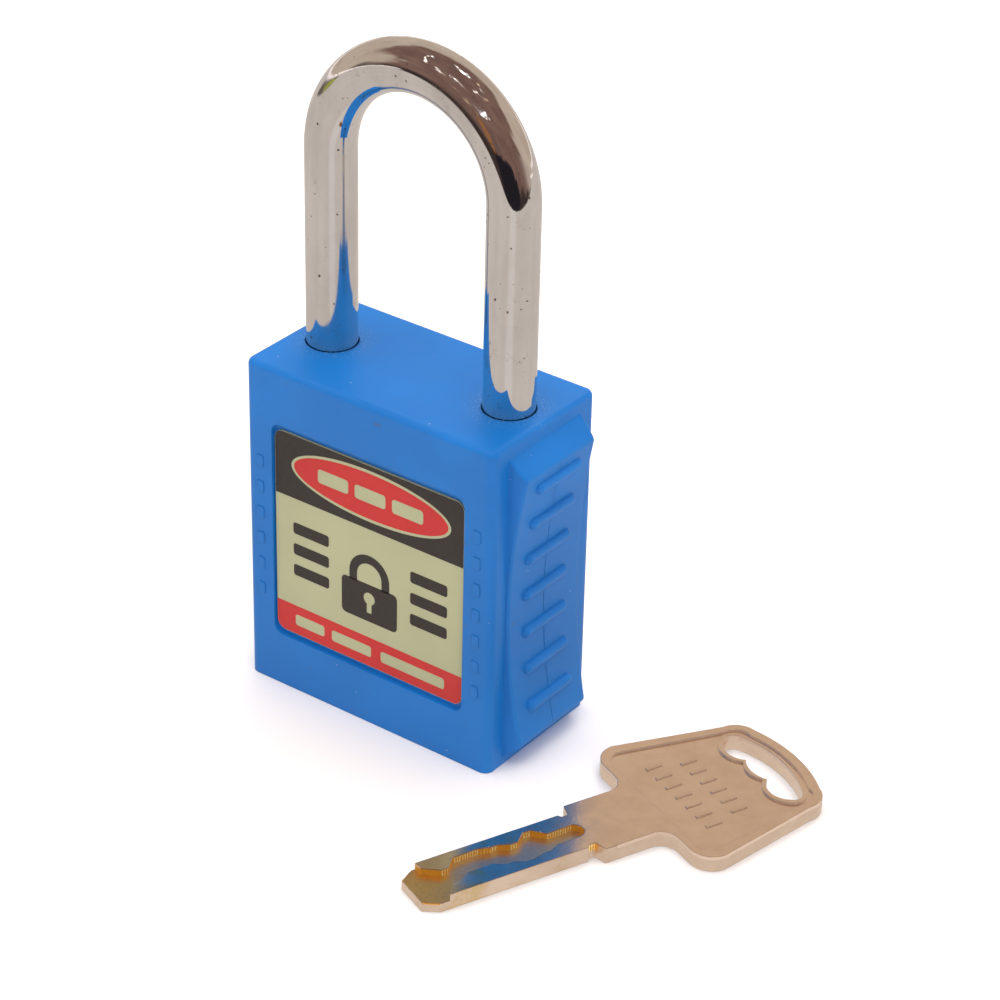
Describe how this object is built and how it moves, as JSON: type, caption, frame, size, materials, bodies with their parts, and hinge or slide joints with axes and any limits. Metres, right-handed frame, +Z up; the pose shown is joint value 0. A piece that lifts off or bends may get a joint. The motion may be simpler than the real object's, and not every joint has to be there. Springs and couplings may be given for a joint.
{
  "type": "safety padlock",
  "caption": "Lockout safety padlock with a moulded body, a tall steel shackle and a track-wafer cylinder, and its flat key lying beside it.",
  "frame": {"origin": "centre of the key opening in the flat base, on the surface that the padlock stands on", "axes": "+Z up along the legs of the shackle, +X to the toe of the shackle, -Y out of the front label"},
  "size_m": [0.0765, 0.0518, 0.0876],
  "materials": {
    "nylon": "satin moulded nylon",
    "label": "printed film",
    "shackle_chrome": "polished chrome plate",
    "filled_nylon": "glass-filled black nylon",
    "steel": "zinc-plated steel",
    "brass": "turned brass",
    "key_plate": "nickel-plated brass with a raw milled track"
  },
  "bodies": {
    "lock_body": {"base_cover": "nylon", "body_shell": "nylon", "bolt_plate": "steel", "core_block": "filled_nylon", "cover_pin": "steel", "cylinder_housing": "brass", "heel_pin": "steel", "label_back": "label", "label_front": "label"},
    "plug_group": {"cam": "steel", "plug": "brass", "plug_clip": "steel", "sidebar": "brass", "wafer_1": "brass", "wafer_2": "brass", "wafer_3": "brass", "wafer_4": "brass", "wafer_5": "brass", "wafer_6": "brass", "wafer_7": "brass", "wafer_spring_1": "steel", "wafer_spring_2": "steel", "wafer_spring_3": "steel", "wafer_spring_4": "steel", "wafer_spring_5": "steel", "wafer_spring_6": "steel", "wafer_spring_7": "steel"},
    "bolt_group": {"locking_bolt": "steel"},
    "shackle_group": {"shackle": "shackle_chrome", "shackle_spring": "steel"},
    "key_group": {"key": "key_plate"}
  },
  "joints": [
    {"name": "shackle_lift", "type": "slide", "parent": "lock_body", "child": "shackle_group", "axis": [0, 0, 1], "range_m": [0, 0.0115], "deforming": ["shackle_spring"]},
    {"name": "plug_turn", "type": "hinge", "parent": "lock_body", "child": "plug_group", "pos_m": [0, 0, 0.02], "axis": [0, 0, 1], "range_deg": [0, 100]},
    {"name": "bolt_slide", "type": "slide", "parent": "lock_body", "child": "bolt_group", "axis": [-1, 0, 0], "range_m": [0, 0.00506]},
    {"name": "key_lift", "type": "slide", "parent": "lock_body", "child": "key_group", "axis": [0, 0, 1], "range_m": [0, 0.08]}
  ],
  "couplings": [
    {"joint": "plug_turn", "follows": "shackle_lift", "rad_per_m": 151.77},
    {"joint": "bolt_slide", "follows": "shackle_lift", "ratio": 0.44}
  ]
}
